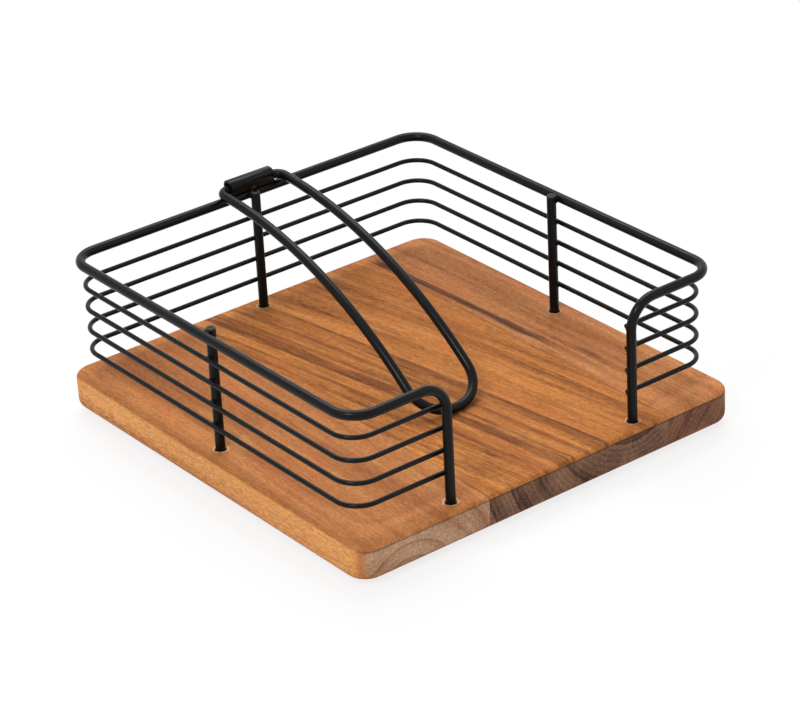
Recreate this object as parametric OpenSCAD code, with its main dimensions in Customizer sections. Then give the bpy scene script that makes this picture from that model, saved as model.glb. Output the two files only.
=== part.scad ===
// Napkin tray: a wooden board that carries a wire cage open at the front,
// with a curved wire arm that is hinged at the back and lies on the napkins.
// Millimetres. +X is right, +Y is the hinge side, +Z is up, and the origin is
// the middle of the plane that the feet stand on.

/* [Board] */
// Width of the board, left to right
board_w = 190; // [175:1:240]
// Depth of the board, front to back
board_d = 198; // [180:1:250]
// Thickness of the board
board_t = 15; // [12:0.5:25]
// Radius of the board's four upright corners
board_corner_r = 9.5; // [6:0.5:20]
// Radius of the round along the board's top edge
board_top_r = 2; // [0.5:0.25:3]
// Radius of the round along the board's bottom edge
board_bottom_r = 4; // [0.5:0.25:5]

/* [Wires] */
// Thickness of the heavy wire of the rail, the posts and the arm
heavy_wire_d = 4; // [3:0.25:5]
// Thickness of the light wire of the four side wires
light_wire_d = 2; // [1.5:0.25:3]

/* [Top rail] */
// Height of the rail's centre line above the board's top
rail_h = 51.3; // [47:0.1:90]
// Distance from the board's left and right sides to the rail's centre line
rail_side_inset = 4.5; // [3:0.25:15]
// Distance from the board's back to the rail's centre line
rail_back_inset = 3.7; // [3:0.1:15]
// Distance from the board's front to the front posts' centre lines
front_post_inset = 7; // [6:0.25:20]
// Distance between the centre lines of the two front posts
front_gap_w = 92.4; // [60:0.1:120]
// Bend radius at the rail's four upright corners
rail_corner_r = 11.5; // [6:0.25:20]
// Bend radius where the rail turns down into the front posts
post_bend_r = 11.5; // [4:0.5:16]

/* [Side wires] */
// Distance from the rail's centre line down to the highest side wire
first_wire_drop = 10.7; // [7:0.1:14]
// Distance from one side wire to the next
wire_pitch = 9.7; // [6:0.1:11]
// Bend radius at the side wires' four corners
side_wire_corner_r = 10.75; // [6:0.25:20]
// Length of a side wire's end past the centre line of the front post
wire_end = 0.25; // [0:0.25:8]

/* [Straight posts] */
// Height of a straight post's top above the rail's centre line
post_rise = 1.6; // [0:0.1:1.9]
// Height of the rounded top of a straight post
post_tip_h = 0.7; // [0.2:0.1:1.2]

/* [Hinge clip] */
// Thickness of the clip's sheet metal
clip_sheet = 0.9; // [0.5:0.1:1.5]
// Width of the open seam where the rolled sheet's edges meet
clip_seam = 0.8; // [0.4:0.1:2]
// Direction of the seam round the hinge axis, from straight back to straight down
seam_angle = 40; // [20:5:60]

/* [Press arm] */
// Distance between the centre lines of the arm's two legs
arm_w = 31; // [30:0.5:44]
// Radius of the arch that the legs are bent to
arm_arch_r = 200; // [190:1:210]
// Bend radius at the two corners beside the hinge clip
arm_back_r = 4.5; // [4:0.25:8]
// Bend radius at the two corners of the front end
arm_front_r = 14.5; // [8:0.5:15]

/* [Nuts and washers] */
// Height of a nut
nut_h = 3.2; // [2:0.1:4]
// Width of a nut across its flats
nut_flats = 7; // [6.5:0.1:8]
// Outer diameter of a washer
washer_d = 8; // [7.5:0.1:9]
// Thickness of a washer
washer_t = 0.5; // [0.3:0.1:1.2]
// Length of a post's threaded end past its nut
thread_end = 1; // [0.5:0.1:1.5]
// Distance from the end of a post up inside the counterbore to the board's underside
thread_recess = 1; // [0.3:0.1:2]

/* [Feet] */
// Diameter of a foot
foot_d = 10; // [8:0.5:16]
// Height of a foot
foot_h = 2; // [1:0.1:5]
// Radius of the round along a foot's lower rim
foot_rim_r = 0.6; // [0.2:0.1:0.9]
// Distance from the board's sides, front and back to a foot's centre
foot_inset = 20; // [18:0.5:40]

/* [Clearances] */
// Radial clearance of the arm's wire in the clip
hinge_clearance = 0.08; // [0.05:0.01:0.1]
// Gap between each end of the clip and the arm's corner beside it
side_clearance = 0.5; // [0.3:0.1:1.5]
// Gap between the arm's front end and the board when the arm lies down
rest_clearance = 0.2; // [0.1:0.05:0.3]
// Gap left between two wires, which their weld closes
weld_clearance = 0.02; // [0.01:0.01:0.1]
// Radial clearance of a post in its hole through the board
hole_clearance = 0.4; // [0.1:0.05:0.6]
// Radial clearance of a post in its washer
washer_clearance = 0.15; // [0.1:0.01:0.3]
// Radial clearance of a threaded end in its nut
thread_clearance = 0.03; // [0.02:0.01:0.1]
// Radial clearance of a washer and a nut's corners in their counterbore
counterbore_clearance = 0.4; // [0.2:0.1:0.8]
// Width of the chamfer round the top of each post's hole
hole_chamfer = 0.4; // [0.2:0.1:1]

/* [Hidden] */

round_fn = 96;
edge_fn = 32;
arch_fn = 384;
$fn = round_fn;

// Faces that are cut run this far past the solid.
cut = 1;

// Straight lengths of wire shorter than this are left out.
least_run = 0.01;

// Heights, from the feet up
board_bottom = foot_h;
board_top = board_bottom + board_t;
rail_z = board_top + rail_h;

// Centre lines of the rail, seen from above
rail_x = board_w / 2 - rail_side_inset;
rail_back = board_d / 2 - rail_back_inset;
rail_front = -board_d / 2 + front_post_inset;
front_post_x = front_gap_w / 2;

// The straight posts stand against the inside of the rail.
heavy_touch = heavy_wire_d + weld_clearance;
side_post_x = rail_x - heavy_touch;
back_post_y = rail_back - heavy_touch;
side_post_y = (rail_front + rail_back) / 2;

// The side wires run round the outside of the straight posts and behind the
// front posts.
light_touch = (heavy_wire_d + light_wire_d) / 2 + weld_clearance;
wire_x = side_post_x + light_touch;
wire_back = back_post_y + light_touch;
wire_front = rail_front + light_touch;
wire_end_x = front_post_x - wire_end;

// Places of the five posts, seen from above
FRONT_LEFT = [-front_post_x, rail_front];
FRONT_RIGHT = [front_post_x, rail_front];
LEFT = [-side_post_x, side_post_y];
BACK = [0, back_post_y];
RIGHT = [side_post_x, side_post_y];
POSTS = [FRONT_LEFT, FRONT_RIGHT, LEFT, BACK, RIGHT];

// Under the board, from the counterbore's mouth up: thread end, nut, washer
post_bottom = board_bottom + thread_recess;
nut_z = post_bottom + thread_end;
washer_z = nut_z + nut_h;
counterbore_depth = washer_z + washer_t - board_bottom;
nut_corners = nut_flats / cos(30);
counterbore_d = max(washer_d, nut_corners) + 2 * counterbore_clearance;

// The hinge axis runs above the rail, on the rail's centre line.
clip_bore_r = heavy_wire_d / 2 + hinge_clearance;
clip_r = clip_bore_r + clip_sheet;
hinge_y = rail_back;
hinge_z = rail_z + heavy_wire_d / 2 + weld_clearance + clip_r;

// The clip fills the straight wire between the arm's two back corners.
clip_len = arm_w - 2 * arm_back_r - 2 * side_clearance;

// The arm is drawn with its back corners level, so that its front end lies
// arm_reach forward of the hinge axis and arm_fall below it. It then tilts about
// the axis until the front end lies just above the board.
// The arch turns through the angle that has this cosine and sine. Both are exact,
// so the front end meets the legs without a step.
arch_cos = 0.8;
arch_sin = 0.6;
arc_angle = 25;
arm_reach = arm_back_r + arm_arch_r * arch_sin + arm_front_r * arch_cos;
arm_fall = arm_arch_r * (1 - arch_cos) + arm_front_r * arch_sin;
arm_drop = hinge_z - heavy_wire_d / 2 - rest_clearance - board_top;
arm_tilt = asin(arm_drop / norm([arm_reach, arm_fall])) - atan(arm_fall / arm_reach);

WIRE_BLACK = [0.13, 0.13, 0.13];
WOOD_BROWN = [0.74, 0.50, 0.31];
ZINC_GREY = [0.72, 0.73, 0.74];
FOOT_BLACK = [0.10, 0.10, 0.10];

function unit(v) = v / norm(v);

// One straight length of round wire from point a to point b
module straight_wire(a, b, d) {
    z_axis = unit(b - a);
    guess = abs(z_axis.x) > 0.5 ? [0, 1, 0] : [1, 0, 0];
    x_axis = unit(cross(guess, z_axis));
    y_axis = cross(z_axis, x_axis);
    multmatrix([
        [x_axis.x, y_axis.x, z_axis.x, a.x],
        [x_axis.y, y_axis.y, z_axis.y, a.y],
        [x_axis.z, y_axis.z, z_axis.z, a.z],
    ])
        cylinder(h = norm(b - a), d = d);
}

// A square bend of radius r at point p, from direction u into direction v
module square_bend(p, u, v, r, d) {
    n = cross(u, v);
    c = p + (v - u) * r;
    multmatrix([
        [-v.x, u.x, n.x, c.x],
        [-v.y, u.y, n.y, c.y],
        [-v.z, u.z, n.z, c.z],
    ])
        rotate_extrude(angle = 90)
            translate([r, 0])
                circle(d = d);
}

// Round wire through the points, with a square bend at each inner point.
// radii holds one bend radius per point, 0 for the two ends.
module bent_wire(points, radii, d) {
    last = len(points) - 1;
    for (i = [0 : last - 1]) {
        u = unit(points[i + 1] - points[i]);
        if (norm(points[i + 1] - points[i]) > radii[i] + radii[i + 1] + least_run)
            straight_wire(points[i] + u * radii[i], points[i + 1] - u * radii[i + 1], d);
    }
    for (i = [1 : last - 1])
        square_bend(points[i], unit(points[i] - points[i - 1]),
            unit(points[i + 1] - points[i]), radii[i], d);
}

// Half outline of the board's edge, as a disc of radius board_corner_r
module board_edge_profile() {
    hull() {
        square([board_corner_r - board_bottom_r, board_t]);
        translate([board_corner_r - board_bottom_r, board_bottom_r])
            circle(r = board_bottom_r, $fn = edge_fn);
        translate([board_corner_r - board_top_r, board_t - board_top_r])
            circle(r = board_top_r, $fn = edge_fn);
    }
}

module board() {
    corner_x = board_w / 2 - board_corner_r;
    corner_y = board_d / 2 - board_corner_r;
    hole_r = heavy_wire_d / 2 + hole_clearance;
    color(WOOD_BROWN)
        difference() {
            translate([0, 0, board_bottom])
                hull()
                    for (x = [-corner_x, corner_x], y = [-corner_y, corner_y])
                        translate([x, y])
                            rotate_extrude($fn = 2 * edge_fn)
                                intersection() {
                                    board_edge_profile();
                                    square([board_corner_r, board_t]);
                                }
            for (p = POSTS)
                translate(p) {
                    translate([0, 0, board_bottom - cut])
                        cylinder(h = board_t + 2 * cut, r = hole_r);
                    translate([0, 0, board_bottom - cut])
                        cylinder(h = counterbore_depth + cut, d = counterbore_d);
                    translate([0, 0, board_top - hole_chamfer])
                        cylinder(h = hole_chamfer + cut, r1 = hole_r,
                            r2 = hole_r + hole_chamfer + cut);
                }
        }
}

// The rail and both front posts are one length of wire.
module top_rail() {
    color(WIRE_BLACK)
        bent_wire(
            [
                [-front_post_x, rail_front, post_bottom],
                [-front_post_x, rail_front, rail_z],
                [-rail_x, rail_front, rail_z],
                [-rail_x, rail_back, rail_z],
                [rail_x, rail_back, rail_z],
                [rail_x, rail_front, rail_z],
                [front_post_x, rail_front, rail_z],
                [front_post_x, rail_front, post_bottom],
            ],
            [
                0, post_bend_r, rail_corner_r, rail_corner_r,
                rail_corner_r, rail_corner_r, post_bend_r, 0,
            ],
            heavy_wire_d
        );
}

// Side wire number i, counted down from the rail
module side_wire(i) {
    z = rail_z - first_wire_drop - (i - 1) * wire_pitch;
    r = side_wire_corner_r;
    color(WIRE_BLACK)
        bent_wire(
            [
                [-wire_end_x, wire_front, z],
                [-wire_x, wire_front, z],
                [-wire_x, wire_back, z],
                [wire_x, wire_back, z],
                [wire_x, wire_front, z],
                [wire_end_x, wire_front, z],
            ],
            [0, r, r, r, r, 0],
            light_wire_d
        );
}

// A straight post, with its threaded end down and its rounded tip up
module straight_post(place) {
    tip_z = rail_z + post_rise;
    color(WIRE_BLACK)
        translate(place) {
            translate([0, 0, post_bottom])
                cylinder(h = tip_z - post_tip_h - post_bottom, d = heavy_wire_d);
            translate([0, 0, tip_z - post_tip_h])
                cylinder(h = post_tip_h, r1 = heavy_wire_d / 2,
                    r2 = heavy_wire_d / 2 - post_tip_h);
        }
}

// Sheet metal rolled round the arm's wire. It lies on the rail, welded to it.
module hinge_clip() {
    color(WIRE_BLACK)
        translate([-clip_len / 2, hinge_y, hinge_z])
            rotate([0, 90, 0])
                difference() {
                    cylinder(h = clip_len, r = clip_r);
                    translate([0, 0, -cut])
                        cylinder(h = clip_len + 2 * cut, r = clip_bore_r);
                    rotate(90 - seam_angle)
                        translate([0, -clip_seam / 2, -cut])
                            cube([clip_r + cut, clip_seam, clip_len + 2 * cut]);
                }
}

// What it holds, turned about the arch's centre through the arch's angle, from
// forward to down
module at_arch_end() {
    translate([0, -arm_back_r, -arm_arch_r])
        multmatrix([[1, 0, 0, 0], [0, arch_cos, -arch_sin, 0], [0, arch_sin, arch_cos, 0]])
            children();
}

// The part of a leg's arch beside its level end, from there forward and down
module arch_arc(x) {
    translate([x, 0, 0])
        multmatrix([[0, 0, 1, 0], [0, -1, 0, 0], [1, 0, 0, 0]])
            rotate_extrude(angle = arc_angle, $fn = arch_fn)
                translate([arm_arch_r, 0])
                    circle(d = heavy_wire_d, $fn = round_fn);
}

// The front end: two corners and the straight wire between them
module arm_front() {
    x = arm_w / 2;
    translate([0, 0, arm_arch_r])
        bent_wire(
            [[-x, 0, 0], [-x, -arm_front_r, 0], [x, -arm_front_r, 0], [x, 0, 0]],
            [0, arm_front_r, arm_front_r, 0],
            heavy_wire_d
        );
}

// The back wire, which is the hinge axle, and the two corners beside it
module arm_back() {
    x = arm_w / 2;
    bent_wire(
        [[-x, -arm_back_r, 0], [-x, 0, 0], [x, 0, 0], [x, -arm_back_r, 0]],
        [0, arm_back_r, arm_back_r, 0],
        heavy_wire_d
    );
}

// The closed loop of the arm, lying down. Each leg's arch is one arc drawn from
// the back corner and one drawn from the front corner, which overlap half way.
module press_arm() {
    color(WIRE_BLACK)
        translate([0, hinge_y, hinge_z])
            rotate([arm_tilt, 0, 0])
                union() {
                    arm_back();
                    translate([0, -arm_back_r, -arm_arch_r])
                        for (s = [-1, 1])
                            arch_arc(s * arm_w / 2);
                    at_arch_end() {
                        for (s = [-1, 1])
                            rotate([0, 0, 180])
                                arch_arc(s * arm_w / 2);
                        arm_front();
                    }
                }
}

module washer(place) {
    color(ZINC_GREY)
        translate([place.x, place.y, washer_z])
            difference() {
                cylinder(h = washer_t, d = washer_d);
                translate([0, 0, -cut])
                    cylinder(h = washer_t + 2 * cut, r = heavy_wire_d / 2 + washer_clearance);
            }
}

module nut(place) {
    color(ZINC_GREY)
        translate([place.x, place.y, nut_z])
            difference() {
                cylinder(h = nut_h, d = nut_corners, $fn = 6);
                translate([0, 0, -cut])
                    cylinder(h = nut_h + 2 * cut, r = heavy_wire_d / 2 + thread_clearance);
            }
}

// A round pad under the board, at the corner with signs sx and sy
module foot(sx, sy) {
    color(FOOT_BLACK)
        translate([sx * (board_w / 2 - foot_inset), sy * (board_d / 2 - foot_inset), 0])
            rotate_extrude()
                difference() {
                    square([foot_d / 2, foot_h]);
                    translate([foot_d / 2 - foot_rim_r, 0])
                        difference() {
                            translate([0, -cut])
                                square([foot_rim_r + cut, foot_rim_r + cut]);
                            translate([0, foot_rim_r])
                                circle(r = foot_rim_r);
                        }
                }
}

board();
top_rail();
side_wire(1);  // side_wire_1
side_wire(2);  // side_wire_2
side_wire(3);  // side_wire_3
side_wire(4);  // side_wire_4
straight_post(LEFT);  // post_left
straight_post(BACK);  // post_back
straight_post(RIGHT);  // post_right
hinge_clip();
press_arm();
washer(FRONT_LEFT);  // washer_front_left
washer(FRONT_RIGHT);  // washer_front_right
washer(LEFT);  // washer_left
washer(BACK);  // washer_back
washer(RIGHT);  // washer_right
nut(FRONT_LEFT);  // nut_front_left
nut(FRONT_RIGHT);  // nut_front_right
nut(LEFT);  // nut_left
nut(BACK);  // nut_back
nut(RIGHT);  // nut_right
foot(-1, -1);  // foot_front_left
foot(1, -1);  // foot_front_right
foot(-1, 1);  // foot_back_left
foot(1, 1);  // foot_back_right
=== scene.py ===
# Napkin tray: a board of three glued staves, a black wire cage that is open at the
# front, and a curved wire arm, hinged at the back, that lies on the napkins.
# Metres, in the CAD model's frame: +X right, +Y the hinge side, +Z up.
from math import acos, asin, atan, cos, pi, radians, sin, sqrt, tan

import bmesh
import bpy
from mathutils import Matrix, Vector


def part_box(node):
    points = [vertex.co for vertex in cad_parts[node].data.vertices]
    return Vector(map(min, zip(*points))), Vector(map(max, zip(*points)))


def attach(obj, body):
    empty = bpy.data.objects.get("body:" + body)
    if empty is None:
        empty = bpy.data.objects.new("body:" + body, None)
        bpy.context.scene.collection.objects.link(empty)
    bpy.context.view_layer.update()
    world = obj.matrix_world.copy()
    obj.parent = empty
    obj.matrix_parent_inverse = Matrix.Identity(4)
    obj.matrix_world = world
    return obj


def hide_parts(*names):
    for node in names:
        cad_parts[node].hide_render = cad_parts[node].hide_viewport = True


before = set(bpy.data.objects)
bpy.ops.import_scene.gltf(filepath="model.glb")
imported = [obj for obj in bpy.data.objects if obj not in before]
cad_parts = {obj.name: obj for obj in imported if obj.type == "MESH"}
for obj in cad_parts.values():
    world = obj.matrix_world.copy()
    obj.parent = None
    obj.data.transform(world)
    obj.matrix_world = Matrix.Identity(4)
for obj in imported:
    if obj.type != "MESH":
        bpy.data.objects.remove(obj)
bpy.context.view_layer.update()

# ---------------------------------------------------------------------------
# Camera. It looks down on the tray's front left corner from about 1.3 m away
# through a long lens, so upright posts stay nearly parallel.
mm = 0.001
camera_azimuth, camera_elevation, camera_roll = radians(-36.93), radians(27.62), radians(-3.06)
camera_distance = 1341.67 * mm
camera_target = Vector((36.60, 45.19, -2.78)) * mm

backward = Vector((
    sin(camera_azimuth) * cos(camera_elevation),
    -cos(camera_azimuth) * cos(camera_elevation),
    sin(camera_elevation),
))
level_right = Vector((0, 0, 1)).cross(backward).normalized()
level_up = backward.cross(level_right)
right = cos(camera_roll) * level_right + sin(camera_roll) * level_up
up = cos(camera_roll) * level_up - sin(camera_roll) * level_right


def placed(name, data):
    """A new object in the scene, at the origin."""
    made = bpy.data.objects.new(name, data)
    bpy.context.scene.collection.objects.link(made)
    return made


camera = placed("camera", bpy.data.cameras.new("camera"))
camera.data.lens = 141.72
camera.data.sensor_width = 36
camera.data.clip_start = 0.05
camera_turn = Matrix((right, up, backward)).transposed().to_4x4()
camera.matrix_world = (
    Matrix.Translation(camera_target + backward * camera_distance) @ camera_turn)
bpy.context.scene.camera = camera

# ---------------------------------------------------------------------------
# Board. Three solid wood staves, edge-glued side by side with the grain running
# front to back, planed, rounded along every edge, drilled for the five posts
# with a counterbore below each hole, and oiled.
board_low, board_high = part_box("board")
board_corner_r, board_corner_steps = 9.5 * mm, 14
board_top_r = 2 * mm
board_bottom_r = 4 * mm
hole_r, hole_chamfer = 2.4 * mm, 0.4 * mm
glue_line_left, glue_line_right = -33, 59
stave_colours = {
    "left": ((208, 138, 82), (142, 82, 44)),
    "middle": ((207, 133, 68), (106, 56, 24)),
    "right": ((212, 142, 88), (130, 76, 44)),
}
end_grain_colours = {
    "left": ((200, 162, 130), (140, 86, 56)),
    "middle": ((150, 112, 88), (70, 50, 42)),
    "right": ((150, 108, 84), (90, 56, 44)),
}


def plain_colour(red, green, blue):
    """A colour read from a screen, 0 to 255, as the light it stands for."""
    return tuple(
        c / 12.92 if c <= 0.04045 else ((c + 0.055) / 1.055) ** 2.4
        for c in (red / 255, green / 255, blue / 255)
    ) + (1.0,)


class Socket:
    """One socket of a node tree. Arithmetic on it adds Math nodes to the tree."""

    def __init__(self, tree, socket=None):
        self.tree, self.socket = tree, socket

    def node(self, kind, settings=(), sockets=(), out=0):
        """Any node: its settings, then the values or links of its sockets."""
        made = self.tree.nodes.new(kind)
        for name, value in dict(settings).items():
            setattr(made, name, value)
        for key, value in dict(sockets).items():
            if isinstance(value, Socket):
                self.tree.links.new(value.socket, made.inputs[key])
            else:
                made.inputs[key].default_value = value
        return Socket(self.tree, made.outputs[out] if len(made.outputs) else None)

    def math(self, operation, *others, clamp=False):
        """One Math node, with this number first."""
        values = (self,) + others
        return self.node("ShaderNodeMath", {"operation": operation, "use_clamp": clamp},
                         {i: value for i, value in enumerate(values)})

    def __add__(self, other): return self.math("ADD", other)
    def __radd__(self, other): return self.math("ADD", other)
    def __mul__(self, other): return self.math("MULTIPLY", other)
    def __rmul__(self, other): return self.math("MULTIPLY", other)
    def __sub__(self, other): return self.math("SUBTRACT", other)
    def __rsub__(self, other):
        return self.node("ShaderNodeMath", {"operation": "SUBTRACT"}, {0: other, 1: self})

    def step(self, low, high):
        """0 at low and beyond it, 1 at high and beyond it, and a smooth slope between."""
        return self.node("ShaderNodeMapRange", {"interpolation_type": "SMOOTHSTEP"},
                         {"Value": self, "From Min": low, "From Max": high})

    def scaled(self, x, y, z):
        """A vector whose parts are multiplied by x, y and z."""
        return self.node("ShaderNodeVectorMath", {"operation": "MULTIPLY"},
                         {0: self, 1: (x, y, z)})

    def parts(self):
        """The three parts of this vector."""
        return [self.node("ShaderNodeSeparateXYZ", {}, {0: self}, out=i) for i in range(3)]

    def nearest(self, points):
        """The distance from this place to the nearest one of the points."""
        nearest = None
        for point in points:
            distance = self.node("ShaderNodeVectorMath", {"operation": "DISTANCE"},
                                 {0: self, 1: point}, out=1)
            nearest = distance if nearest is None else nearest.math("MINIMUM", distance)
        return nearest

    def noise(self, detail=2.0, roughness=0.5, scale=1.0):
        """Noise from 0 to 1 at this vector."""
        return self.node("ShaderNodeTexNoise", {}, {
            "Vector": self, "Scale": scale, "Detail": detail, "Roughness": roughness})

    def blend(self, under, over):
        """The colour under where this mask is 0, and the colour over where it is 1."""
        return self.node("ShaderNodeMix", {"data_type": "RGBA"},
                         {0: self, 6: under, 7: over}, out=2)


def new_finish(name):
    """An empty material, a Socket that adds nodes to it, and the place in mm."""
    material = bpy.data.materials.new(name)
    material.use_nodes = True
    material.node_tree.nodes.clear()
    start = Socket(material.node_tree)
    return material, start, start.node("ShaderNodeTexCoord", out=3).scaled(1000, 1000, 1000)


def show_surface(shader):
    """Ends a material's nodes with its shader."""
    shader.node("ShaderNodeOutputMaterial", {}, {"Surface": shader})


def plain_piece(name, mesh, material, sharp_over=35):
    """A finished mesh as an object at the origin, smooth but for its edges."""
    mesh.name = name
    mesh.shade_smooth()
    mesh.set_sharp_from_angle(angle=radians(sharp_over))
    mesh.materials.clear()
    mesh.materials.append(material)
    return placed(name, mesh)


def add_walls(shape, rings, closed=False):
    """Adds rings of corners, with walls from each to the next, or round to the first."""
    loops = [[shape.verts.new(corner) for corner in ring] for ring in rings]
    for lower, upper in zip(loops, loops[1:] + (loops[:1] if closed else [])):
        for i in range(len(lower)):
            j = (i + 1) % len(lower)
            shape.faces.new((lower[i], lower[j], upper[j], upper[i]))
    return loops


def add_solid(shape, rings):
    """Adds rings of corners, with walls from each to the next and two flat ends."""
    loops = add_walls(shape, rings)
    shape.faces.new(reversed(loops[0]))
    shape.faces.new(loops[-1])


def finished_mesh(shape, name):
    """The mesh that was drawn in shape."""
    mesh = bpy.data.meshes.new(name)
    shape.to_mesh(mesh)
    shape.free()
    return mesh


def applied(helper):
    """A plain mesh of an object with its modifiers applied. The object is removed."""
    bpy.context.view_layer.update()
    mesh = bpy.data.meshes.new_from_object(
        helper.evaluated_get(bpy.context.evaluated_depsgraph_get()))
    bpy.data.objects.remove(helper)
    return mesh


def quarter_turn(steps):
    """The angles of a quarter turn, in equal steps."""
    return [pi / 2 * i / steps for i in range(steps + 1)]


def board_ring(inset, height):
    """The board's outline, drawn in by inset, at one height."""
    radius = board_corner_r - inset
    half_x = board_high.x - board_corner_r
    half_y = board_high.y - board_corner_r
    ring = []
    for quarter, (sx, sy) in enumerate(((1, 1), (-1, 1), (-1, -1), (1, -1))):
        for turn in quarter_turn(board_corner_steps):
            turn += quarter * pi / 2
            ring.append((
                sx * half_x + radius * cos(turn), sy * half_y + radius * sin(turn), height))
    return ring


edge_rings = []
for turn in quarter_turn(8):
    edge_rings.append(board_ring(board_bottom_r * (1 - sin(turn)),
                                 board_low.z + board_bottom_r * (1 - cos(turn))))
for turn in quarter_turn(6):
    edge_rings.append(board_ring(board_top_r * (1 - cos(turn)),
                                 board_high.z - board_top_r * (1 - sin(turn))))
shape = bmesh.new()
add_solid(shape, edge_rings)
blank = placed("blank", finished_mesh(shape, "board"))

post_places = {}
for side in ("left", "back", "right"):
    low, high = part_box("post_" + side)
    post_places[side] = (low + high) / 2
rail_low, rail_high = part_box("top_rail")
front_post_x = 46.2 * mm
wire_r = 2 * mm
for side, sign in (("front_left", -1), ("front_right", 1)):
    post_places[side] = Vector((sign * front_post_x, rail_low.y + wire_r, 0))
washer_low, washer_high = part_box("washer_back")
counterbore_top = washer_high.z
counterbore_r, counterbore_chamfer = 4.44 * mm, 0.3 * mm
drill_reach = 1 * mm


def turned_rings(profile, place, steps):
    """Rings of a shape turned on a lathe, from its (radius, height) profile."""
    return [
        [(place.x + r * cos(2 * pi * i / steps), place.y + r * sin(2 * pi * i / steps), z)
         for i in range(steps)]
        for r, z in profile
    ]


shape = bmesh.new()
for place in post_places.values():
    hole = (
        (counterbore_r + counterbore_chamfer, board_low.z - drill_reach),
        (counterbore_r + counterbore_chamfer, board_low.z),
        (counterbore_r, board_low.z + counterbore_chamfer),
        (counterbore_r, counterbore_top),
        (hole_r, counterbore_top),
        (hole_r, board_high.z - hole_chamfer),
        (hole_r + hole_chamfer, board_high.z),
        (hole_r + hole_chamfer, board_high.z + drill_reach),
    )
    add_solid(shape, turned_rings(hole, place, 48))
drills = placed("drills", finished_mesh(shape, "drills"))
drilling = blank.modifiers.new("drilling", "BOOLEAN")
drilling.operation, drilling.solver, drilling.object = "DIFFERENCE", "EXACT", drills
drilled = applied(blank)
bpy.data.objects.remove(drills)

wood, start, place = new_finish("oiled_wood")
x, y, z = place.parts()
facing_x, facing_y, facing_z = start.node("ShaderNodeTexCoord", out=1).parts()
facing_end = facing_y.math("ABSOLUTE")
top, bottom = board_high.z / mm, board_low.z / mm
in_left = x.math("LESS_THAN", glue_line_left)
in_right = x.math("GREATER_THAN", glue_line_right)


def by_stave(left, middle, right_one):
    """A number that differs from stave to stave."""
    return middle + (left - middle) * in_left + (right_one - middle) * in_right


def by_stave_colour(colours, shade):
    """One of the two colours of each stave."""
    left, middle, right_one = (
        plain_colour(*colours[stave][shade]) for stave in ("left", "middle", "right"))
    return in_right.blend(in_left.blend(middle, left), right_one)


# The grain drifts sideways as it comes forward, and wanders a little.
wander = place.scaled(0.010, 0.006, 0.02).noise(1.0) - 0.5
across = x + y * by_stave(-0.03, 0.15, 0.035) + wander * 7
deep = z + y * by_stave(0.03, 0.04, -0.02)
grain = start.node("ShaderNodeCombineXYZ", {}, {
    0: across, 1: y + by_stave(400, 0, -400), 2: deep})

# Growth rings are circles round the pith that each stave was sawn beside. Each
# ring darkens slowly outward and ends in a thin dark line.
pith_across = across - by_stave(-70, 27.6, 120)
pith_deep = deep - by_stave(-14, 34, -30)
ring_r = (pith_across * pith_across + pith_deep * pith_deep).math("SQRT")
uneven = ring_r.node("ShaderNodeTexNoise", {"noise_dimensions": "1D"},
                     {"W": ring_r, "Scale": 0.06, "Detail": 2.0})
ring = (ring_r * by_stave(0.12, 0.076, 0.11) + uneven * 1.6
        + by_stave(0.1, 0.0, 0.4)).math("FRACT")
late = ring.step(0.45, 0.93) * (1 - ring.step(0.95, 1.0))

# Patterns drawn out along the grain, from broad bands down to single pores. The
# streaks are strongest in the middle stave's left half and toward its front.
bands = grain.scaled(0.085, 0.005, 0.06).noise(2.0, 0.55).step(0.34, 0.68)
streaks = grain.scaled(0.42, 0.009, 0.42).noise(5.0, 0.74).step(0.36, 0.64)
lively = 0.50 + 0.60 * x.step(glue_line_left - 4, glue_line_left) * (
    x.step(24, -6).math("MAXIMUM", 0.8 * y.step(10, -60)))
fibres = grain.scaled(1.1, 0.018, 1.1).noise(5.0, 0.80)
mottle = grain.scaled(1.5, 0.26, 1.5).noise(3.0, 0.7).step(0.34, 0.66)
flecks = grain.scaled(1.25, 0.50, 1.25).noise(1.0, 0.6)
dashes = grain.scaled(1.5, 0.09, 1.5).noise(2.0, 0.6).step(0.58, 0.72)
pores = grain.scaled(2.6, 0.16, 2.6).noise(1.0, 0.5).step(0.62, 0.72)
redness = grain.scaled(0.10, 0.020, 0.10).noise(3.0, 0.65).step(0.45, 0.70)
paleness = grain.scaled(0.13, 0.016, 0.13).noise(3.0, 0.65).step(0.52, 0.74)
front_of_right = in_right * (0.10 - 0.34 * y.step(0, -90))
tone = (
    0.36 + late * 0.20
    + (bands - 0.5) * by_stave(0.3, 0.3, 0.2)
    + (streaks - 0.5) * lively * 0.52
    + (fibres - 0.5) * 1.3
    + (mottle - 0.5) * 0.50
    + front_of_right - 0.06 * y.step(-30, -90)
).math("ADD", 0.0, clamp=True)
long_grain = tone.blend(by_stave_colour(stave_colours, 0), by_stave_colour(stave_colours, 1))
long_grain = (redness * 0.42).blend(long_grain, plain_colour(180, 100, 54))
long_grain = (paleness * 0.45).blend(long_grain, plain_colour(216, 156, 92))
long_grain = (dashes * 0.28).blend(long_grain, plain_colour(112, 58, 30))

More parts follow.
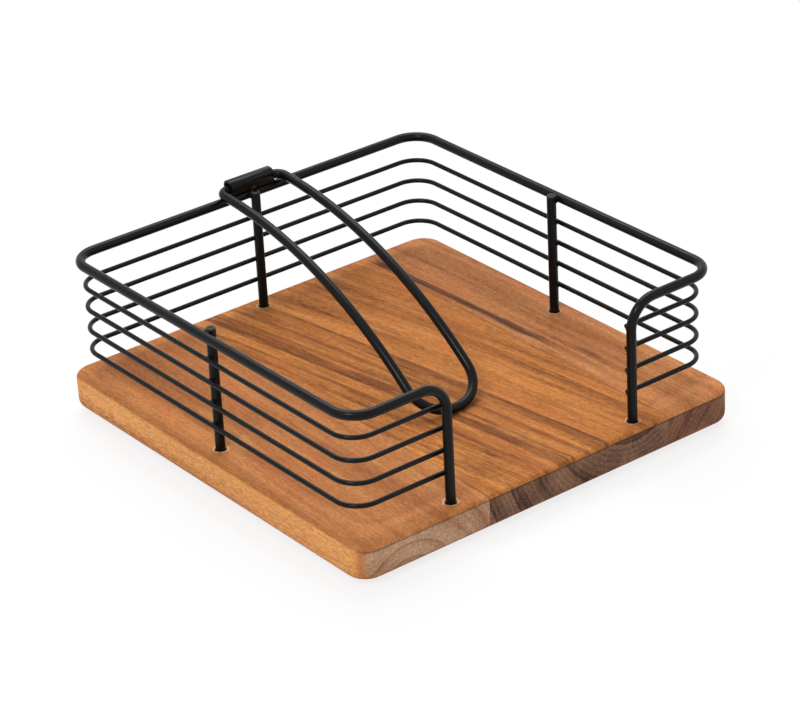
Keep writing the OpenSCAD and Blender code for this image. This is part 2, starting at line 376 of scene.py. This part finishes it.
# Dark growth lines in the middle stave, each with a shade on one side of it.
swell = grain.scaled(0.2, 0.03, 0.2).noise(3.0)
growth = None
for at, half_width, shade_width, strength in (
    (-18.5, 0.6, 3, 0.70), (-9.0, 2.8, 3, 0.80), (-3.8, 0.7, 3, 0.65), (3.2, 0.6, 5, 0.70),
    (13.4, 0.7, 7, 0.85), (42.0, 0.5, 4, 0.35), (50.0, 0.6, 4, 0.45),
):
    beside = across - at
    line = 1 - (beside.math("ABSOLUTE") - swell * 2 * half_width).step(-0.5, 0.9)
    shade = beside.step(-shade_width, -0.5) * beside.step(1.0, 0.0)
    line = (line + shade * 0.45).math("MINIMUM", 1.0) * strength
    growth = line if growth is None else growth.math("MAXIMUM", line)
growth = growth * (1 - in_left) * (1 - in_right) * (0.22 + 0.78 * fibres.step(0.36, 0.58))
long_grain = (growth * 0.95).blend(long_grain, plain_colour(88, 46, 26))

# A near-black line of heartwood in the right stave, and one stain beside it.
heart_drift = across - 63.6 - (place.scaled(0.02, 0.03, 0.02).noise(2.0) - 0.5) * 5
heart_width = place.scaled(0.3, 0.05, 0.3).noise(3.0) * 2.8 + 0.2
heart = (
    (1 - (heart_drift.math("ABSOLUTE") - heart_width).step(-0.6, 1.4)) * in_right
    * (0.35 + 0.65 * y.step(-28, -8)) * y.step(97, 86) * y.step(-84, -40)
    * (0.60 + 0.40 * fibres.step(0.40, 0.52))
)
stain = place.scaled(1.0, 0.15, 0.0).nearest([(72.0, -5.6, 0.0)]).step(1.9, 0.5)
heart = heart.math("MAXIMUM", stain * 0.55)
long_grain = (heart * 0.92).blend(long_grain, plain_colour(60, 38, 32))

# The left side is painted paler, as painted light falling on that face. Toward the underside all
# sides are darker and redder.
left_face_painted_light = facing_x.step(-0.7, -0.98)
long_grain = (left_face_painted_light * 0.55).blend(long_grain, plain_colour(255, 184, 112))
low_edge = (z + mottle * 5).step(bottom + 12, bottom + 3) * facing_z.step(0.9, 0.5) * (
    0.25 + 0.75 * y.step(-90, 70))
long_grain = (low_edge * 0.7).blend(long_grain, plain_colour(158, 88, 52))

# Cut across the grain, the same wood is greyer and shows the pores as dots.
speck = place.scaled(1.5, 0.4, 1.5).noise(4.0, 0.8)
fine_rings = (ring_r * 0.45 + uneven * 2.2).math("FRACT").step(0.2, 0.9)
end_tone = (
    by_stave(0.24, 0.34, 0.36) + late * by_stave(0.34, 0.48, 0.36)
    + (fine_rings - 0.5) * by_stave(0.12, 0.22, 0.2)
    + (bands - 0.5) * 0.4
    + (speck - 0.5) * 2.2
).math("ADD", 0.0, clamp=True)
end_grain = end_tone.blend(
    by_stave_colour(end_grain_colours, 0), by_stave_colour(end_grain_colours, 1))
sawn = facing_end.step(0.62, 0.95) * z.step(top - 1.2, top - 1.9)
surface = sawn.blend(long_grain, end_grain)
edge_line = facing_end.step(0.35, 0.8) * (
    1 - (z - (top - 1.8)).math("ABSOLUTE").step(0.15, 0.6))
surface = (edge_line * 0.5).blend(surface, plain_colour(60, 34, 24))

# Dark oil sits in the pores and in the glue lines. Each hole's rim is bare wood.
from_left_line, from_right_line = (
    (x - line).math("ABSOLUTE") for line in (glue_line_left, glue_line_right))
glue = from_left_line.math("MINIMUM", from_right_line).step(0.32, 0.08)
surface = (pores * 0.34 * (1 - sawn)).blend(surface, plain_colour(92, 50, 26))
surface = (glue * 0.35).blend(surface, plain_colour(70, 40, 24))
fine_grain = fibres + (mottle - 0.5) * 0.25 + (flecks - 0.5) * (0.75 - 0.45 * sawn)
brightness = start.node("ShaderNodeMapRange", {}, {
    "Value": fine_grain, "From Min": 0.3, "From Max": 0.7, "To Min": 0.79, "To Max": 1.21})
surface = start.node("ShaderNodeVectorMath", {"operation": "SCALE"}, {0: surface, 3: brightness})
from_hole = place.nearest(
    [(spot.x / mm, spot.y / mm, top) for spot in post_places.values()])
chips = place.scaled(1.1, 0.6, 1.0).noise(2.0, 0.6)
bare = (from_hole - chips * 2.4).step(2.1, 1.8) * from_hole.step(2.3, 2.5)
surface = (bare * 0.65).blend(surface, plain_colour(232, 198, 160))

show_surface(start.node("ShaderNodeBsdfPrincipled", {}, {
    "Base Color": surface,
    "Roughness": 0.55 + pores * 0.2 + sawn * 0.15,
    "Specular IOR Level": 0.07,
    "Normal": start.node("ShaderNodeBump", {}, {
        "Strength": 0.4, "Distance": 0.00015,
        "Height": fibres * 0.6 - pores * 0.6 + mottle * 0.2 + speck * sawn * 0.4}),
}))

board = plain_piece("board", drilled, wood)
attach(board, "tray")
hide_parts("board")

# ---------------------------------------------------------------------------
# Top rail and front posts. One length of 4 mm steel wire: it comes up as the left
# front post, runs round the tray and goes down again as the right front post. All
# the black steel is powder coated, which leaves a fine satin grain.
rail_x, rail_back, rail_front = (
    rail_high.x - wire_r, rail_high.y - wire_r, rail_low.y + wire_r)
rail_z = rail_high.z - wire_r
post_bend_r, rail_corner_r = 11.5 * mm, 11.5 * mm
post_cut = washer_low.z
post_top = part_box("post_back")[1].z + 0.8 * mm

black_coat, start, place = new_finish("black_powder_coat")
grain = place.noise(2.0, 0.5, scale=2.2)
patches = place.noise(1.0, 0.5, scale=0.05)
coat = patches.blend((0.0045, 0.0045, 0.0046, 1), (0.0070, 0.0070, 0.0072, 1))
# A painted highlight: a lighter, rougher ring on the sharp rim of each straight post's cut top.
from_top = place.nearest([
    (post_places[side].x / mm, post_places[side].y / mm, post_top / mm)
    for side in ("left", "back", "right")])
rim_highlight_painted = from_top.step(0.9, 1.4) * from_top.step(2.3, 1.9) * (0.4 + 0.6 * grain)
coat = rim_highlight_painted.blend(coat, (0.075, 0.066, 0.058, 1))
show_surface(start.node("ShaderNodeBsdfPrincipled", {}, {
    "Base Color": coat,
    "Roughness": 0.17 + grain * 0.10 + rim_highlight_painted * 0.25,
    "Specular IOR Level": 0.12,
    "Normal": start.node("ShaderNodeBump", {}, {
        "Strength": 0.5, "Distance": 0.00006, "Height": grain}),
}))


class Tree(Socket):
    """A geometry tree with named inputs, which ends in a material."""

    def __init__(self, name):
        super().__init__(bpy.data.node_groups.new(name, "GeometryNodeTree"))
        self.tree.interface.new_socket(
            "Geometry", in_out="OUTPUT", socket_type="NodeSocketGeometry")
        self.inputs = {}
        self.start = self.tree.nodes.new("NodeGroupInput")
        self.taken("Geometry", "Geometry")

    def taken(self, name, kind):
        """A named input of the tree."""
        made = self.tree.interface.new_socket(
            name, in_out="INPUT", socket_type="NodeSocket" + kind)
        self.inputs[name] = made.identifier
        return Socket(self.tree, self.start.outputs[name])

    def ends_in(self, geometry):
        """Real faces with a material, as the tree's result."""
        real = self.node("GeometryNodeRealizeInstances", {}, {0: geometry})
        painted = self.node("GeometryNodeSetMaterial", {}, {
            "Geometry": real, "Material": self.taken("Material", "Material")})
        self.node("NodeGroupOutput", {}, {0: painted})

    def grown(self, name, source, material, sharp_over=35, **values):
        """Runs the tree on an object and keeps what it makes as a plain piece."""
        modifier = source.modifiers.new(name, "NODES")
        modifier.node_group = self.tree
        values["Material"] = material
        for key, value in values.items():
            modifier[self.inputs[key.replace("_", " ")]] = value
        return plain_piece(name, applied(source), material, sharp_over)


# A wire: a path, copied in a straight line if need be, made round and solid. The
# path's own radius is 1, or less where the wire's end is rounded.
wire_tree = Tree("wire")
path = Socket(wire_tree.tree, wire_tree.start.outputs["Geometry"])
copies = wire_tree.node("GeometryNodeMeshLine", {}, {
    "Count": wire_tree.taken("Copies", "Int"), "Offset": wire_tree.taken("Step", "Vector")})
laid = wire_tree.node("GeometryNodeInstanceOnPoints", {}, {"Points": copies, "Instance": path})
section = wire_tree.node("GeometryNodeCurvePrimitiveCircle", {}, {
    "Resolution": wire_tree.taken("Sides", "Int"),
    "Radius": wire_tree.taken("Wire radius", "Float")})
wire_tree.ends_in(wire_tree.node("GeometryNodeCurveToMesh", {}, {
    "Curve": wire_tree.node("GeometryNodeRealizeInstances", {}, {0: laid}),
    "Profile Curve": section,
    "Scale": wire_tree.node("GeometryNodeInputRadius"),
    "Fill Caps": True,
}))


def bent_path(corners, radii):
    """Points along a path that turns through a right angle at each inner corner."""
    points = [Vector(corners[0])]
    for before, corner, after, r in zip(corners, corners[1:], corners[2:], radii):
        corner = Vector(corner)
        u = (corner - Vector(before)).normalized()
        v = (Vector(after) - corner).normalized()
        middle = corner + (v - u) * r
        for turn in quarter_turn(12):
            points.append(middle + (u * sin(turn) - v * cos(turn)) * r)
    points.append(Vector(corners[-1]))
    return points


def wire_path(points, closed=False, start_round=(), end_round=()):
    """An object with a path. The roundings are (distance from the end, radius) pairs."""
    stations = [(point, 1.0) for point in points]
    if start_round:
        u = (points[1] - points[0]).normalized()
        stations[:1] = [(points[0] + u * d, r) for d, r in start_round]
    if end_round:
        u = (points[-2] - points[-1]).normalized()
        stations[-1:] = [(points[-1] + u * d, r) for d, r in reversed(end_round)]
    drawn = bpy.data.curves.new("path", "CURVE")
    drawn.dimensions = "3D"
    spline = drawn.splines.new("POLY")
    spline.points.add(len(stations) - 1)
    spline.use_cyclic_u = closed
    for point, (where, radius) in zip(spline.points, stations):
        point.co, point.radius = (*where, 1.0), radius
    return placed("path", drawn)


rail = wire_tree.grown("top_rail", wire_path(bent_path(
    (
        (-front_post_x, rail_front, post_cut), (-front_post_x, rail_front, rail_z),
        (-rail_x, rail_front, rail_z), (-rail_x, rail_back, rail_z),
        (rail_x, rail_back, rail_z), (rail_x, rail_front, rail_z),
        (front_post_x, rail_front, rail_z), (front_post_x, rail_front, post_cut),
    ),
    (post_bend_r,) + (rail_corner_r,) * 4 + (post_bend_r,),
)), black_coat, Copies=1, Step=(0, 0, 0), Sides=40, Wire_radius=wire_r)
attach(rail, "tray")
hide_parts("top_rail")

# ---------------------------------------------------------------------------
# Side wires. Four like lengths of 2 mm steel wire below the rail, bent round three
# sides of the tray. Their cut ends are welded to the backs of the front posts, and on
# their way round they are welded to the outside of each straight post.
light_r = 1 * mm
side_low, side_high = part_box("side_wire_1")
lowest_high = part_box("side_wire_4")[1]
side_x, side_back = side_high.x - light_r, side_high.y - light_r
side_front = side_low.y + light_r
side_z = side_high.z - light_r
side_pitch = (side_high.z - lowest_high.z) / 3
side_end_past_axis = 0.25 * mm
side_end_x = front_post_x - side_end_past_axis
side_corner_r = 10.75 * mm
sheared = ((0, 0.80), (0.08 * mm, 0.93), (0.22 * mm, 1.0))
side_wires = wire_tree.grown("side_wires", wire_path(bent_path(
    (
        (-side_end_x, side_front, side_z), (-side_x, side_front, side_z),
        (-side_x, side_back, side_z), (side_x, side_back, side_z),
        (side_x, side_front, side_z), (side_end_x, side_front, side_z),
    ),
    (side_corner_r,) * 4,
), start_round=sheared, end_round=sheared),
    black_coat, Copies=4, Step=(0, 0, -side_pitch), Sides=24, Wire_radius=light_r)
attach(side_wires, "tray")
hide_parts("side_wire_1", "side_wire_2", "side_wire_3", "side_wire_4")

# ---------------------------------------------------------------------------
# Straight posts. Three lengths of 4 mm steel wire, at the middle of the left, back and
# right sides. Their cut tops are tumbled round and end just above the rail's top, and
# the rail is welded to them.
tumbled = (
    (0, 0.66), (0.10 * mm, 0.80), (0.28 * mm, 0.91), (0.50 * mm, 0.97), (0.70 * mm, 1.0))
for side in ("left", "back", "right"):
    foot, head = post_places[side].copy(), post_places[side].copy()
    foot.z, head.z = post_cut, post_top
    post = wire_tree.grown("post_" + side, wire_path([foot, head], end_round=tumbled),
                           black_coat, Copies=1, Step=(0, 0, 0), Sides=40, Wire_radius=wire_r)
    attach(post, "tray")
    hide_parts("post_" + side)

# ---------------------------------------------------------------------------
# Resistance welds. Where two wires cross they are pressed together and fused, and
# a small bead fills the groove on each side of the joint.
copies_tree = Tree("copies")
places = Socket(copies_tree.tree, copies_tree.start.outputs["Geometry"])
copied = copies_tree.node("GeometryNodeObjectInfo", {}, {
    "Object": copies_tree.taken("Copied", "Object")}, out=4)
turned = copies_tree.node("GeometryNodeInputNamedAttribute", {"data_type": "FLOAT_VECTOR"},
                          {"Name": "turn"})
varied = copies_tree.taken("Variation", "Float")
size = copies_tree.node("FunctionNodeRandomValue", {"data_type": "FLOAT"}, {
    2: 1.0 - varied, 3: 1.0 + varied, "Seed": 7}, out=1)
copies_tree.ends_in(copies_tree.node("GeometryNodeInstanceOnPoints", {}, {
    "Points": places, "Instance": copied, "Rotation": turned, "Scale": size}))


def spread(name, mesh, spots, material, sharp_over=30, variation=0.0):
    """A piece that is a copy of the mesh at each (place, turn) pair."""
    points = bpy.data.meshes.new("places")
    points.from_pydata([place for place, turn in spots], [], [])
    turns = points.attributes.new("turn", "FLOAT_VECTOR", "POINT")
    for kept, (place, turn) in zip(turns.data, spots):
        kept.vector = turn
    copied = placed("copied", mesh)
    piece = copies_tree.grown(name, placed("places", points), material, sharp_over,
                              Copied=copied, Variation=variation)
    bpy.data.objects.remove(copied)
    return piece


def bead(across, along, upright, lump=0.06):
    """A weld bead: a lumpy drop of the three half sizes, 'across' along X."""
    shape = bmesh.new()
    bmesh.ops.create_icosphere(shape, subdivisions=3, radius=1)
    for corner in shape.verts:
        x, y, z = corner.co
        swell = 1 + lump * (sin(5 * y + 1) * cos(4 * z) + 0.5 * sin(7 * z + 3 * x))
        corner.co = Vector((x * across, y * along, z * upright)) * swell
    return finished_mesh(shape, "bead")


unturned, quarter_turned = (0, 0, 0), (0, 0, pi / 2)
weld_y = post_places["left"].y
side_heights = [side_z - side_pitch * i for i in range(4)]
cross_spots, butt_spots = [], []
for sign in (-1, 1):
    for z in side_heights:
        cross_spots.append((Vector((sign * (side_x - light_r), weld_y, z)), unturned))
        cross_spots.append(
            (Vector((sign * front_post_x, side_front - light_r, z)), quarter_turned))
    butt_spots.append((Vector((sign * (rail_x - wire_r), weld_y, rail_z)), unturned))
for z in side_heights:
    cross_spots.append((Vector((0, side_back - light_r, z)), quarter_turned))
butt_spots.append((Vector((0, rail_back - wire_r, rail_z)), quarter_turned))
for name, spots, drop in (
    ("cross_welds", cross_spots, bead(0.75 * mm, 1.15 * mm, 1.35 * mm)),
    ("rail_welds", butt_spots, bead(0.95 * mm, 1.9 * mm, 1.9 * mm)),
):
    welds = spread(name, drop, spots, black_coat, sharp_over=60, variation=0.06)
    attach(welds, "tray")

# ---------------------------------------------------------------------------
# Hinge clip. A strip of 0.9 mm sheet steel rolled loosely round the arm's wire until
# its edges nearly meet at the back, spot welded once and welded on the rail.
clip_low, clip_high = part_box("hinge_clip")
hinge = Vector((0, rail_back, (clip_low.z + clip_high.z) / 2))
clip_r = (clip_high.z - clip_low.z) / 2
clip_sheet, clip_half_seam = 0.9 * mm, radians(7)
clip_end = clip_high.x + 0.4 * mm
roll_lift = 0.5 * mm
roll_middle = Vector((0, hinge.y, hinge.z + roll_lift))
roll_half_y, roll_half_z = clip_r + 0.15 * mm, clip_r + roll_lift
squareness = 2.7
seam_turn = radians(-38)


def roll_point(turn, drawn_in):
    """A point of the clip's squarish oval outline, drawn in toward its middle."""
    y, z = cos(turn), sin(turn)
    swell = (abs(y) ** squareness + abs(z) ** squareness) ** (-1 / squareness)
    return ((roll_half_y - drawn_in) * y * swell, (roll_half_z - drawn_in) * z * swell)


outline = []
roll_steps, cut_edge = 72, 0.15 * mm
for i in range(roll_steps + 1):
    turn = seam_turn + clip_half_seam + (2 * pi - 2 * clip_half_seam) * i / roll_steps
    outline.append((turn, cut_edge if i in (0, roll_steps) else 0))
outline += [(turn, clip_sheet) for turn, drawn_in in reversed(outline)]
rings = []
for along, bevel in (
    (-clip_end, 0.13 * mm), (-clip_end + 0.05 * mm, 0.04 * mm), (-clip_end + 0.13 * mm, 0),
    (clip_end - 0.13 * mm, 0), (clip_end - 0.05 * mm, 0.04 * mm), (clip_end, 0.13 * mm),
):
    ring = []
    for turn, drawn_in in outline:
        on_outside = drawn_in < clip_sheet
        y, z = roll_point(turn, drawn_in + (bevel if on_outside else -bevel * 0.7))
        ring.append((along, roll_middle.y + y, roll_middle.z + z))
    rings.append(ring)
shape = bmesh.new()
loops = add_walls(shape, rings)
for end in (loops[0], loops[-1]):
    for i in range(roll_steps):
        shape.faces.new((end[i], end[i + 1], end[-2 - i], end[-1 - i]))
bmesh.ops.recalc_face_normals(shape, faces=shape.faces)
clip = plain_piece("hinge_clip", finished_mesh(shape, "hinge_clip"), black_coat, 40)
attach(clip, "tray")
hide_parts("hinge_clip")

dimple = ((1.15 * mm, -0.25 * mm), (1.05 * mm, 0.02 * mm), (0.86 * mm, 0.14 * mm),
          (0.66 * mm, 0.12 * mm), (0.46 * mm, -0.02 * mm), (0.2 * mm, -0.06 * mm))
shape = bmesh.new()
add_solid(shape, turned_rings(dimple, Vector(), 28))
dimple_turn, dimple_lift = radians(26), 0.12 * mm
normal = Vector((0, -cos(dimple_turn), -sin(dimple_turn)))
bmesh.ops.transform(
    shape, verts=shape.verts,
    matrix=Matrix.Translation(hinge + normal * (clip_r + dimple_lift))
    @ normal.to_track_quat("Z", "X").to_matrix().to_4x4())
spot_weld = plain_piece(
    "clip_spot_weld", finished_mesh(shape, "clip_spot_weld"), black_coat, 60)
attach(spot_weld, "tray")

clip_weld_x = 6 * mm
clip_welds = spread(
    "clip_welds", bead(1.0 * mm, 2.4 * mm, 0.75 * mm),
    [(Vector((sign * clip_weld_x, hinge.y, clip_low.z)), quarter_turned) for sign in (-1, 1)],
    black_coat, sharp_over=60, variation=0.06)
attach(clip_welds, "tray")

# ---------------------------------------------------------------------------
# Press arm. A closed loop of 4 mm steel wire. Its back wire turns in the clip, its
# two legs are bent to one long arch, and its front end lies on the napkins or, when
# the tray is empty, just above the board.
leg_x = 15.5 * mm
arch_r, arm_back_r, arm_front_r = 200 * mm, 4.5 * mm, 14.5 * mm
arch_cos, arch_sin = 0.8, 0.6
arch_turn = acos(arch_cos)
arm_reach = arm_back_r + arch_r * arch_sin + arm_front_r * arch_cos
arm_fall = arch_r * (1 - arch_cos) + arm_front_r * arch_sin
arm_drop = hinge.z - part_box("press_arm")[0].z - wire_r
arm_tilt = asin(arm_drop / sqrt(arm_reach ** 2 + arm_fall ** 2)) - atan(arm_fall / arm_reach)
half = []
for turn in quarter_turn(8):
    half.append(Vector((leg_x - arm_back_r * (1 - sin(turn)), -arm_back_r * (1 - cos(turn)), 0)))
arch_steps = 36
for i in range(1, arch_steps + 1):
    turn = arch_turn * i / arch_steps
    half.append(Vector((leg_x, -arm_back_r - arch_r * sin(turn), -arch_r * (1 - cos(turn)))))
arch_end, fore = half[-1], Vector((0, -arch_cos, -arch_sin))
for turn in quarter_turn(12)[1:]:
    inward = Vector((-arm_front_r * (1 - cos(turn)), 0, 0))
    half.append(arch_end + inward + fore * arm_front_r * sin(turn))
loop = half + [Vector((-p.x, p.y, p.z)) for p in reversed(half)]
lie = Matrix.Translation(hinge) @ Matrix.Rotation(arm_tilt, 4, "X")
arm = wire_tree.grown("press_arm", wire_path([lie @ p for p in loop], closed=True),
                      black_coat, Copies=1, Step=(0, 0, 0), Sides=40, Wire_radius=wire_r)
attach(arm, "arm")
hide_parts("press_arm")

# ---------------------------------------------------------------------------
# Threaded ends. Under the board every post's wire ends in a rolled thread, blunt at
# its tip, which takes the nut and stays inside the counterbore.
thread_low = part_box("post_back")[0].z
thread_high = post_cut + 0.2 * mm
thread_pitch, thread_depth, blunt_end = 0.7 * mm, 0.2 * mm, 0.5 * mm
thread_sides, thread_levels = 36, 56
rings = []
for level in range(thread_levels + 1):
    z = thread_low + level * (thread_high - thread_low) / thread_levels
    blunt = min(1.0, 0.80 + (z - thread_low) / blunt_end * 0.2)
    ring = []
    for i in range(thread_sides):
        phase = (z / thread_pitch - i / thread_sides) % 1.0
        groove = abs(2 * phase - 1)
        r = wire_r * blunt - thread_depth * min(1.0, max(0.0, 1.25 * groove - 0.1))
        turn = 2 * pi * i / thread_sides
        ring.append((r * cos(turn), r * sin(turn), z))
    rings.append(ring)
shape = bmesh.new()
add_solid(shape, rings)
threads = spread(
    "threaded_ends", finished_mesh(shape, "thread"),
    [(Vector((p.x, p.y, 0)), unturned) for p in post_places.values()], black_coat)
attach(threads, "tray")

# ---------------------------------------------------------------------------
# Washers and nuts. A punched flat washer and a chamfered hexagon nut hold each
# post in its counterbore. Both are steel with a thin bright zinc plating.
zinc, start, place = new_finish("zinc_plating")
blotch = place.noise(2.0, 0.6, scale=0.7)
scuff = place.scaled(1.0, 6.0, 1.0).noise(2.0, 0.6, scale=1.5)
show_surface(start.node("ShaderNodeBsdfPrincipled", {}, {
    "Base Color": blotch.blend(plain_colour(176, 180, 186), plain_colour(208, 206, 198)),
    "Metallic": 1.0,
    "Roughness": 0.24 + scuff * 0.22,
    "Normal": start.node("ShaderNodeBump", {}, {
        "Strength": 0.25, "Distance": 0.00003, "Height": scuff}),
}))

nut_low, nut_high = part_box("nut_back")
nut_flats, nut_bore_r, nut_sink = 7 * mm, 2.03 * mm, 0.3 * mm
nut_chamfer_r, nut_slope = 0.475 * nut_flats, tan(radians(30))
nut_steps = 72
nut_corners = []
for i in range(nut_steps):
    turn = 2 * pi * i / nut_steps
    side_r = nut_flats / 2 / cos((turn + pi / 6) % (pi / 3) - pi / 6)
    nut_corners.append((turn, side_r, max(0.0, side_r - nut_chamfer_r) * nut_slope))


def nut_end(z, inward):
    """A nut's rings from its bore out to its side, at one end."""
    profiles = [
        (nut_bore_r, z + inward * nut_sink), (nut_bore_r + nut_sink, z), (nut_chamfer_r, z)]
    rings = [[(r * cos(turn), r * sin(turn), height) for turn, side_r, fall in nut_corners]
             for r, height in profiles]
    return rings + [[(side_r * cos(turn), side_r * sin(turn), z + inward * fall)
                     for turn, side_r, fall in nut_corners]]


nut_rings = nut_end(nut_low.z, 1) + nut_end(nut_high.z, -1)[::-1]
washer_r, washer_bore_r, burr = 4 * mm, 2.15 * mm, 0.08 * mm
washer_rings = turned_rings((
    (washer_bore_r, washer_low.z + burr), (washer_bore_r + burr, washer_low.z),
    (washer_r - burr, washer_low.z), (washer_r, washer_low.z + burr),
    (washer_r, washer_high.z - burr), (washer_r - burr, washer_high.z),
    (washer_bore_r + burr, washer_high.z), (washer_bore_r, washer_high.z - burr),
), Vector(), 64)
# Each nut stands at an angle of its own, as it was left when it was tightened.
sides = ("front_left", "front_right", "left", "back", "right")
next_nut_turn = radians(17)
spots = [(Vector((post_places[side].x, post_places[side].y, 0)), (0, 0, next_nut_turn * i))
         for i, side in enumerate(sides)]
for name, node, rings in (("washers", "washer_", washer_rings), ("nuts", "nut_", nut_rings)):
    shape = bmesh.new()
    add_walls(shape, rings, closed=True)
    bmesh.ops.recalc_face_normals(shape, faces=shape.faces)
    fixings = spread(name, finished_mesh(shape, name), spots, zinc, sharp_over=20)
    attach(fixings, "tray")
    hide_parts(*(node + side for side in sides))

# ---------------------------------------------------------------------------
# Feet. Four round stick-on pads of black rubber, with a rounded rim, near the
# board's corners. They keep the nuts and the wood off the table.
rubber, start, place = new_finish("black_rubber")
pebble = place.noise(2.0, 0.6, scale=3.0)
dust = place.noise(2.0, 0.6, scale=0.35).step(0.45, 0.75)
show_surface(start.node("ShaderNodeBsdfPrincipled", {}, {
    "Base Color": dust.blend((0.018, 0.018, 0.018, 1), (0.040, 0.039, 0.037, 1)),
    "Roughness": 0.66 + dust * 0.2,
    "Normal": start.node("ShaderNodeBump", {}, {
        "Strength": 0.6, "Distance": 0.00008, "Height": pebble}),
}))
foot_low, foot_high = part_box("foot_back_right")
foot_r, foot_rim_r = (foot_high.x - foot_low.x) / 2, 0.6 * mm
foot_x, foot_y = (foot_low.x + foot_high.x) / 2, (foot_low.y + foot_high.y) / 2
profile = [(foot_r * 0.5, 0.0)]
for turn in quarter_turn(6):
    profile.append((foot_r - foot_rim_r * (1 - sin(turn)), foot_rim_r * (1 - cos(turn))))
profile += [(foot_r, foot_high.z - 0.15 * mm), (foot_r - 0.1 * mm, foot_high.z)]
shape = bmesh.new()
add_solid(shape, turned_rings(profile, Vector(), 64))
feet = spread(
    "feet", finished_mesh(shape, "foot"),
    [(Vector((sx * foot_x, sy * foot_y, 0)), unturned) for sx in (-1, 1) for sy in (-1, 1)],
    rubber)
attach(feet, "tray")
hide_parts("foot_front_left", "foot_front_right", "foot_back_left", "foot_back_right")

# ---------------------------------------------------------------------------
# Stage. A wide pale floor under the feet, a soft light overhead, a smaller one from
# the left, a faint one from the front right, and a white surround.
floor_mesh = bpy.data.meshes.new("floor")
floor_reach, floor_z = 4.0, -0.05 * mm
floor_mesh.from_pydata(
    [(sx * floor_reach, sy * floor_reach, floor_z)
     for sx, sy in ((-1, -1), (1, -1), (1, 1), (-1, 1))],
    [], [(0, 1, 2, 3)])
floor_finish, start, place = new_finish("pale_floor")
seen, mirrored, through = (start.node("ShaderNodeLightPath", out=i) for i in (0, 3, 6))
paper = start.node("ShaderNodeBsdfDiffuse", {}, {"Color": (0.94, 0.94, 0.94, 1)})
glow = start.node("ShaderNodeEmission", {}, {"Color": (1, 1, 1, 1), "Strength": 1.0})
# The floor keeps its shadow near the object and fades to plain white farther off.
whiteness = 0.8 + 0.2 * place.nearest([(0, 0, 0)]).step(250, 900)
show_surface(start.node("ShaderNodeMixShader", {}, {
    0: (seen + mirrored + through) * whiteness, 1: paper, 2: glow}))
floor_mesh.materials.append(floor_finish)
floor = placed("floor", floor_mesh)

world = bpy.data.worlds.new("surround")
bpy.context.scene.world = world
world.use_nodes = True
world.node_tree.nodes.clear()
start = Socket(world.node_tree)
seen, mirrored, through = (start.node("ShaderNodeLightPath", out=i) for i in (0, 3, 6))
level = start.node("ShaderNodeMapRange", {}, {
    "Value": seen + mirrored + through, "To Min": 0.42, "To Max": 1.0})
surround = start.node("ShaderNodeBackground", {}, {"Color": (1, 1, 1, 1), "Strength": level})
start.node("ShaderNodeOutputWorld", {}, {"Surface": surround})

bpy.context.scene.view_settings.view_transform = "Standard"
for name, where, size, watts in (
    ("overhead", (0.3, 0.5, 1.15), 0.9, 11.0),
    ("key", (-0.85, -0.35, 1.0), 0.28, 5.6),
    ("fill", (0.9, -0.9, 0.8), 0.8, 1.0),
):
    lamp = bpy.data.lights.new(name, "AREA")
    lamp.size, lamp.energy = size, watts
    lit = placed(name, lamp)
    lit.location = where
    lit.rotation_euler = (-Vector(where)).to_track_quat("-Z", "Y").to_euler()
